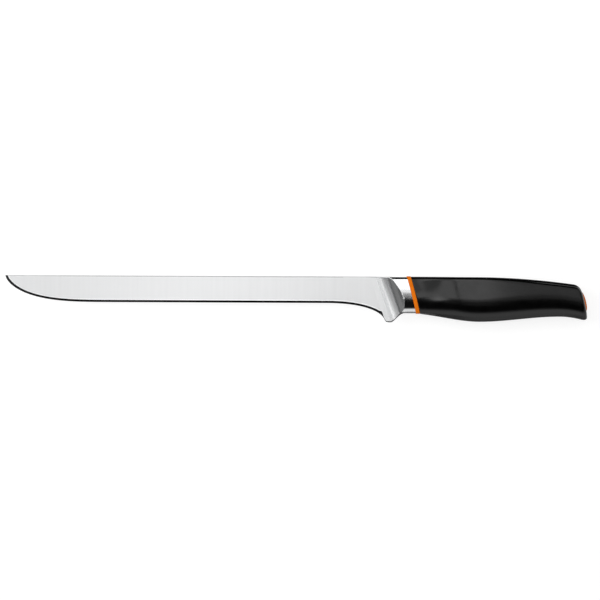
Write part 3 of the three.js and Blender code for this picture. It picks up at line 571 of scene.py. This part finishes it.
def collar_rings(station, proud):
    """Sections in line with the bolster, standing out of it by proud."""
    station, proud = (np.asarray(value, float)[:, None] for value in np.broadcast_arrays(station, proud))
    y, w = rounded_half(
        proud,
        COLLAR_WIDEST_SHARE * COLLAR_Y + 0 * proud,
        COLLAR_Y - proud,
        COLLAR_THICKNESS + 2 * proud,
        COLLAR_BACK_FULLNESS,
        COLLAR_BELLY_FULLNESS,
        COLLAR_SLOPE,
        back_edge=BACK_EDGE,
    )
    return rings_from(y, w, station, JOINT_LEAN)


def insert_rings(station, share, gap=0.0):
    """The insert's outline at a share of its size, grown by a gap: a full oval round its own centre."""
    station, share = (np.asarray(value, float)[:, None] for value in np.broadcast_arrays(station, share))
    reach, width = INSERT_HEIGHT * share / 2 + gap, INSERT_WIDTH * share + 2 * gap
    middle = -INSERT_DEPTH + 0 * share
    y, w = rounded_half(middle + reach, middle, middle - reach, width, INSERT_FULLNESS, INSERT_FULLNESS)
    return rings_from(y, w, station, JOINT_LEAN)


def key_depth(station):
    """How deep the core's grooves are: flat bottoms with short slopes at both sides."""
    outside = np.abs(station[:, None] - np.array(KEY_PLACES)) - KEY_WIDTH / 2
    return KEY_DEPTH * np.clip(1 - outside / KEY_CHAMFER, 0.0, 1.0).max(axis=1)


def make_blade(finishes):
    """The forging with its tang: its own sections, then the tang's from the rear face to the round end."""
    body, finish = forging_rings()
    tang = tang_rings((SPINE_COLUMNS, FACE_COLUMNS, FOOT_COLUMNS))
    rows = len(body) + len(tang) - 1
    kinds = np.zeros((rows, body.shape[1]), int)
    kinds[: len(body) - 1] = finish[:-1]
    return skin("blade_forging", np.concatenate([body, tang]), finishes, BLADE_CREASE, kinds)


def make_ring(finish):
    """The ring round the tang: slot, front face, rounded outside, rear face, plug, and back to the slot."""
    turn = np.linspace(0.0, QUARTER, RING_EDGE_ROWS)
    front, rear = SEAM, SEAM + RING_LENGTH
    near, far = RING_EDGE * (1 - np.cos(turn)), RING_EDGE * (1 - np.sin(turn))
    first = collar_rings(front + near, RING_PROUD - far)
    last = collar_rings(rear - far, RING_PROUD - near)
    plug_end = GRIP_START + SPIGOT_LENGTH
    plug = grip_rings([rear, plug_end], GRIP_WALL)
    counts = (HANDLE_COLUMNS // 4, HANDLE_COLUMNS // 2, HANDLE_COLUMNS // 4)
    slot = tang_rings(counts, CLEARANCE, (front, plug_end))
    rings = np.concatenate([slot[:1], first, last, plug, slot[1:]])
    return skin("front_ring_smooth", rings, [finish], RING_CREASE, wraps=True)


def make_grip(finish):
    """The grip as one wall: out of the core's cavity, over the mouth's edge, along the outside, round the
    butt and down into the insert's pocket."""
    reach = KEY_WIDTH / 2 + KEY_CHAMFER
    offsets = np.array([-reach, -KEY_WIDTH / 2, KEY_WIDTH / 2, reach])
    keys = (np.array(KEY_PLACES)[:, None] + offsets).ravel()
    cavity = np.unique(np.concatenate([np.linspace(GRIP_START, CORE_END + SEAM, CAVITY_ROWS), keys]))[::-1]
    inside = grip_rings(cavity, GRIP_WALL + key_depth(cavity) - CLEARANCE)
    turn = np.linspace(0.0, QUARTER, MOUTH_ROWS)
    mouth_in = GRIP_MOUTH_EDGE * (1 - np.sin(turn)) + GRIP_EASE
    mouth = grip_rings(GRIP_START + GRIP_MOUTH_EDGE * (1 - np.cos(turn)), mouth_in)
    shoulder = GRIP_END - BUTT_BACK_RADIUS
    length = np.linspace(GRIP_START + GRIP_MOUTH_EDGE, shoulder, GRIP_ROWS)[1:]
    butt = shoulder + BUTT_BACK_RADIUS * np.sin(np.linspace(0.0, QUARTER, BUTT_ROWS)[1:])
    outside = grip_rings(np.concatenate([length, butt]), GRIP_EASE)
    pocket = insert_rings([GRIP_END, GRIP_END - INSERT_PLATE - SEAM], 1.0, SEAM)
    rings = np.concatenate([inside, mouth, outside, pocket])
    return skin("grip_smooth", rings, [finish], MOULDED_CREASE)


def make_insert(finish):
    """The insert: a plate let into the butt, with a dome whose height follows a sine and size a cosine."""
    turn = np.linspace(0.0, QUARTER, DOME_ROWS)[:-1]
    station = np.concatenate([[GRIP_END - INSERT_PLATE], GRIP_END + INSERT_DOME * np.sin(turn)])
    share = np.concatenate([[1.0], np.cos(turn)])
    return skin("butt_insert_smooth", insert_rings(station, share), [finish], MOULDED_CREASE)


def add_node(tree, kind, sockets=None, **settings):
    """A shader node with its settings and plain socket values."""
    node = tree.nodes.new(kind)
    for name, value in settings.items():
        setattr(node, name, value)
    for name, value in (sockets or {}).items():
        node.inputs[name].default_value = value
    return node


def new_group(name, inputs, outputs):
    """An empty shader node group with named sockets, and its inner ends."""
    tree = bpy.data.node_groups.new(name, "ShaderNodeTree")
    for socket, kind, value in inputs:
        made = tree.interface.new_socket(socket, in_out="INPUT", socket_type=kind)
        if value is not None:
            made.default_value = value
    for socket, kind in outputs:
        tree.interface.new_socket(socket, in_out="OUTPUT", socket_type=kind)
    return tree, tree.nodes.new("NodeGroupInput"), tree.nodes.new("NodeGroupOutput")


def make_grind_group():
    """Grinding lines: noise drawn out along y and very close along x, and a broader one for uneven work."""
    tree, start, end = new_group(
        "grind_lines",
        [("Vector", "NodeSocketVector", None), ("Closeness", "NodeSocketFloat", 1.0)],
        [("Lines", "NodeSocketFloat"), ("Passes", "NodeSocketFloat")],
    )
    for output, cells, detail in (("Lines", LINE_CELLS, 3.0), ("Passes", PASS_CELLS, 2.0)):
        scale = add_node(tree, "ShaderNodeVectorMath", operation="MULTIPLY")
        scale.inputs[1].default_value = cells
        noise = add_node(tree, "ShaderNodeTexNoise", {"Detail": detail, "Roughness": 0.55})
        tree.links.new(start.outputs["Vector"], scale.inputs[0])
        tree.links.new(scale.outputs["Vector"], noise.inputs["Vector"])
        tree.links.new(start.outputs["Closeness"], noise.inputs["Scale"])
        tree.links.new(noise.outputs["Fac"], end.inputs[output])
    return tree


def make_grain_group():
    """Moulded grain: small round pits of two sizes, and a slow unevenness in the gloss."""
    tree, start, end = new_group(
        "moulded_grain",
        [("Vector", "NodeSocketVector", None), ("Fineness", "NodeSocketFloat", 2600.0)],
        [("Pits", "NodeSocketFloat"), ("Gloss", "NodeSocketFloat")],
    )
    cells = add_node(tree, "ShaderNodeTexVoronoi", {"Randomness": 1.0}, feature="SMOOTH_F1")
    cells.inputs["Smoothness"].default_value = 0.6
    dust = add_node(tree, "ShaderNodeTexNoise", {"Detail": 4.0, "Roughness": 0.6})
    finer = add_node(tree, "ShaderNodeMath", operation="MULTIPLY")
    finer.inputs[1].default_value = DUST_FINENESS
    slow = add_node(tree, "ShaderNodeTexNoise", {"Scale": GLOSS_CELLS, "Detail": 3.0, "Roughness": 0.5})
    both = add_node(tree, "ShaderNodeMath", operation="MULTIPLY_ADD")
    both.inputs[1].default_value = DUST_SHARE
    for node in (cells, dust, slow):
        tree.links.new(start.outputs["Vector"], node.inputs["Vector"])
    tree.links.new(start.outputs["Fineness"], cells.inputs["Scale"])
    tree.links.new(start.outputs["Fineness"], finer.inputs[0])
    tree.links.new(finer.outputs[0], dust.inputs["Scale"])
    tree.links.new(dust.outputs["Fac"], both.inputs[0])
    tree.links.new(cells.outputs["Distance"], both.inputs[2])
    tree.links.new(both.outputs[0], end.inputs["Pits"])
    tree.links.new(slow.outputs["Fac"], end.inputs["Gloss"])
    return tree


def new_material(name, colour, **plain):
    """A material with a Principled shader whose plain values are set on its own sockets."""
    material = bpy.data.materials.new(name)
    material.use_nodes = True
    tree = material.node_tree
    shader = tree.nodes["Principled BSDF"]
    shader.inputs["Base Color"].default_value = (*colour, 1.0)
    for socket, value in plain.items():
        shader.inputs[socket.replace("_", " ")].default_value = value
    return material, tree, shader


def object_place(tree, turn=0.0):
    """Object coordinates, turned about the row's z axis where a pattern leans."""
    place = add_node(tree, "ShaderNodeTexCoord").outputs["Object"]
    if not turn:
        return place
    mapping = add_node(tree, "ShaderNodeMapping", {"Rotation": (0.0, 0.0, turn)})
    tree.links.new(place, mapping.inputs["Vector"])
    return mapping.outputs["Vector"]


def use_group(tree, group, place, **values):
    """One use of a shared effect, fed with a place and with its own values."""
    node = add_node(tree, "ShaderNodeGroup", node_tree=group)
    tree.links.new(place, node.inputs["Vector"])
    for socket, value in values.items():
        node.inputs[socket].default_value = value
    return node


def ranged(tree, value, low, high, from_low=0.25, from_high=0.75):
    """A mask spread over a range of values."""
    node = add_node(tree, "ShaderNodeMapRange", {"From Min": from_low, "From Max": from_high})
    node.inputs["To Min"].default_value, node.inputs["To Max"].default_value = low, high
    tree.links.new(value, node.inputs["Value"])
    return node.outputs["Result"]


def tinted(tree, mask, dark, light):
    """A colour between two, chosen by a mask."""
    node = add_node(tree, "ShaderNodeMix", data_type="RGBA")
    colour_in = [socket for socket in node.inputs if socket.type == "RGBA"]
    colour_in[0].default_value, colour_in[1].default_value = (*dark, 1.0), (*light, 1.0)
    tree.links.new(mask, node.inputs["Factor"])
    return [socket for socket in node.outputs if socket.type == "RGBA"][0]


def bump(tree, shader, height, strength, distance):
    """Surface relief from a height mask, in metres."""
    node = add_node(tree, "ShaderNodeBump", {"Strength": strength, "Distance": distance})
    tree.links.new(height, node.inputs["Height"])
    tree.links.new(node.outputs["Normal"], shader.inputs["Normal"])


def make_steel(name, grind, dark, light, gloss, turn=0.0, closeness=1.0, relief=0.0, edge=1.0):
    """A ground or polished steel: its tone changes a little from pass to pass, its gloss from line to line,
    and the lines leave a faint relief. The lines run across the blade, or turned from there. Edge is how
    bright it is at a glancing view; below 1 it dims glancing reflections, which paints shade on the rim and
    spine steels."""
    material, tree, shader = new_material(name, light, Metallic=1.0, Specular_Tint=(edge, edge, edge, 1.0))
    lines = use_group(tree, grind, object_place(tree, turn), Closeness=closeness)
    tone = tinted(tree, ranged(tree, lines.outputs["Passes"], 0.0, 1.0), dark, light)
    tree.links.new(tone, shader.inputs["Base Color"])
    tree.links.new(ranged(tree, lines.outputs["Lines"], *gloss), shader.inputs["Roughness"])
    if relief:
        bump(tree, shader, lines.outputs["Lines"], relief, LINE_DEPTH)
    return material


def make_moulded(name, grain, dark, light, gloss, fineness, relief, **plain):
    """A moulded plastic: grain in its relief, slow changes in its gloss and a slight change in its tone."""
    material, tree, shader = new_material(name, dark, **plain)
    marks = use_group(tree, grain, object_place(tree), Fineness=fineness)
    tone = tinted(tree, ranged(tree, marks.outputs["Gloss"], 0.0, 1.0), dark, light)
    tree.links.new(tone, shader.inputs["Base Color"])
    tree.links.new(ranged(tree, marks.outputs["Gloss"], *gloss), shader.inputs["Roughness"])
    bump(tree, shader, marks.outputs["Pits"], relief, PIT_DEPTH)
    return material


def make_floor():
    """A plain white floor. It takes the lamps' light and the shadow, and seen straight or in a reflection it
    is lifted to white."""
    mesh = bpy.data.meshes.new("floor")
    corners = [(x * FLOOR_REACH, y * FLOOR_REACH, 0.0) for x, y in ((-1, -1), (1, -1), (1, 1), (-1, 1))]
    mesh.from_pydata(corners, [], [(0, 1, 2, 3)])
    floor = bpy.data.objects.new("floor", mesh)
    bpy.context.scene.collection.objects.link(floor)
    tone, white = (FLOOR_TONE, FLOOR_TONE, FLOOR_TONE), (1.0, 1.0, 1.0, 1.0)
    material, tree, shader = new_material(
        "floor_white", tone, Roughness=1.0, Specular_IOR_Level=0.0, Emission_Color=white
    )
    path = add_node(tree, "ShaderNodeLightPath")
    seen = path.outputs["Is Camera Ray"]
    for ray in ("Is Glossy Ray", "Is Transmission Ray"):
        either = add_node(tree, "ShaderNodeMath", operation="MAXIMUM")
        tree.links.new(seen, either.inputs[0])
        tree.links.new(path.outputs[ray], either.inputs[1])
        seen = either.outputs[0]
    lift = add_node(tree, "ShaderNodeMath", operation="MULTIPLY")
    lift.inputs[1].default_value = FLOOR_LIFT
    tree.links.new(seen, lift.inputs[0])
    tree.links.new(lift.outputs[0], shader.inputs["Emission Strength"])
    mesh.materials.append(material)


def add_panel(name, low, high, azimuth, width, shift, radiance):
    """A soft panel lamp that faces the knife. Seen from there it reaches from low to high degrees off the
    zenith, towards an azimuth counted from +x. Its width runs across that, and it is shifted along its width
    in metres."""
    middle, half = math.radians((low + high) / 2), math.radians((high - low) / 2)
    height = 2 * PANEL_DISTANCE * math.tan(half)
    light = bpy.data.lights.new(name, "AREA")
    light.shape, light.size, light.size_y = "RECTANGLE", width, height
    light.energy = radiance * math.pi * width * height
    lamp = bpy.data.objects.new(name, light)
    bpy.context.scene.collection.objects.link(lamp)
    turn = math.radians(azimuth)
    reach = PANEL_DISTANCE * math.sin(middle)
    along, across = (math.cos(turn), math.sin(turn)), (math.sin(turn), -math.cos(turn))
    x, y = (reach * a + shift * b for a, b in zip(along, across))
    lamp.location = (x, y, PANEL_DISTANCE * math.cos(middle))
    lamp.rotation_euler = (-middle, 0.0, turn - QUARTER)


def make_world():
    """A dark studio with a light band along the wall on the cutting edge's side, soft at both its edges."""
    world = bpy.data.worlds.new("studio")
    bpy.context.scene.world = world
    world.use_nodes = True
    tree = world.node_tree
    background = tree.nodes["Background"]
    way = add_node(tree, "ShaderNodeSeparateXYZ")
    tree.links.new(add_node(tree, "ShaderNodeTexCoord").outputs["Generated"], way.inputs[0])
    lit = None
    for axis, span, ends in (
        ("Z", WALL_TOP, (WALL_LIGHT, 0.0)),
        ("Z", WALL_FOOT, (0.0, 1.0)),
        ("Y", WALL_SIDE, (1.0, 0.0)),
    ):
        fade = add_node(tree, "ShaderNodeMapRange", {"From Min": span[0], "From Max": span[1]})
        fade.interpolation_type = "SMOOTHSTEP"
        fade.inputs["To Min"].default_value, fade.inputs["To Max"].default_value = ends
        tree.links.new(way.outputs[axis], fade.inputs["Value"])
        if lit is None:
            lit = fade.outputs["Result"]
            continue
        both = add_node(tree, "ShaderNodeMath", operation="MULTIPLY")
        tree.links.new(lit, both.inputs[0])
        tree.links.new(fade.outputs["Result"], both.inputs[1])
        lit = both.outputs[0]
    total = add_node(tree, "ShaderNodeMath", operation="ADD")
    total.inputs[1].default_value = ROOM_LIGHT
    tree.links.new(lit, total.inputs[0])
    tree.links.new(total.outputs[0], background.inputs["Strength"])
    background.inputs["Color"].default_value = (1.0, 1.0, 1.0, 1.0)


def make_camera():
    """Straight down on the blade's side through a long lens, turned a little as in the photograph."""
    camera = bpy.data.cameras.new("camera")
    camera.lens, camera.sensor_width = CAMERA_LENS, CAMERA_SENSOR
    camera.clip_end = CAMERA_REACH
    eye = bpy.data.objects.new("camera", camera)
    distance = FRAME_WIDTH * camera.lens / camera.sensor_width
    eye.location = ((SHIFT + (*FRAME_MIDDLE, 0.0)) * MM + (0.0, 0.0, distance)).tolist()
    eye.rotation_euler = (0.0, 0.0, math.radians(FRAME_TURN))
    bpy.context.scene.collection.objects.link(eye)
    bpy.context.scene.camera = eye


grind_lines = make_grind_group()
moulded_grain = make_grain_group()
satin = make_steel(
    "satin_steel", grind_lines, (0.735, 0.74, 0.745), (0.76, 0.765, 0.77), (0.3, 0.4), relief=0.1
)
bevel = make_steel(
    "bevel_steel", grind_lines, (0.5, 0.505, 0.51), (0.55, 0.555, 0.56), (0.1, 0.16), closeness=1.6
)
polished = make_steel(
    "polished_steel", grind_lines, (0.78, 0.785, 0.79), (0.8, 0.805, 0.81), (0.06, 0.1),
    turn=QUARTER, closeness=0.5,
)
cove = make_steel(
    "cove_steel", grind_lines, (0.46, 0.465, 0.47), (0.54, 0.545, 0.55), (0.15, 0.24),
    turn=-COVE_SLANT, relief=0.15,
)
# Near-black steel with dimmed glancing reflections: painted shade along the foot's outline and the steep
# bevel.
painted_dark_rim = make_steel(
    "painted_dark_rim_steel", grind_lines, (0.02, 0.021, 0.022), (0.035, 0.036, 0.037), (0.4, 0.55), edge=0.05
)
# Darker steel with dimmed glancing reflections: painted shade, a grey line along the spine.
spine = make_steel(
    "painted_spine_shade_steel", grind_lines, (0.5, 0.505, 0.51), (0.56, 0.565, 0.57), (0.35, 0.5), edge=0.3
)
# Bright steel for that strip: a painted highlight line above the bevel.
highlight_paint = make_steel("painted_highlight_steel", grind_lines, (0.88, 0.885, 0.89), (0.92, 0.925, 0.93), (0.25, 0.35))
orange = make_moulded(
    "orange_plastic", moulded_grain, (0.95, 0.21, 0.009), (0.98, 0.225, 0.01), (0.45, 0.55), 1800.0, 0.05,
    Specular_IOR_Level=0.02,
)
black = make_moulded(
    "black_grip", moulded_grain, (0.0009, 0.0009, 0.00095), (0.0014, 0.0014, 0.00145), (0.14, 0.19),
    2600.0, 0.15,
)
core_plastic = make_moulded(
    "core_plastic", moulded_grain, (0.06, 0.06, 0.065), (0.08, 0.08, 0.085), (0.5, 0.65), 1400.0, 0.15
)
turned = make_steel(
    "turned_steel", grind_lines, (0.44, 0.45, 0.47), (0.52, 0.53, 0.55), (0.3, 0.45),
    turn=QUARTER, closeness=0.8,
)

pieces = [
    (make_blade([satin, bevel, polished, cove, painted_dark_rim, spine, highlight_paint]), "blade", "steel"),
    (make_ring(orange), "front_ring", "orange"),
    (make_grip(black), "grip", "grip"),
    (make_insert(orange), "butt_insert", "orange"),
]
for piece, node, slot in pieces:
    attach(piece, "root")
    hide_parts(node)

for node, finish in (
    ("core_left", core_plastic),
    ("core_right", core_plastic),
    ("tang_pin_front", turned),
    ("tang_pin_rear", turned),
):
    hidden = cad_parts[node]
    hidden.data.materials.clear()
    hidden.data.materials.append(finish)

make_floor()
for zone, left, right, spans in LIGHT_ZONES:
    width, shift = right - left, (left + right) / 2
    for low, high, radiance in spans:
        add_panel(f"{zone}_{low}_{high}", low, high, SPINE_AZIMUTH, width, shift, radiance)
for panel in SINGLE_LIGHTS:
    add_panel(*panel)
make_world()
make_camera()
bpy.context.scene.view_settings.view_transform = "Standard"
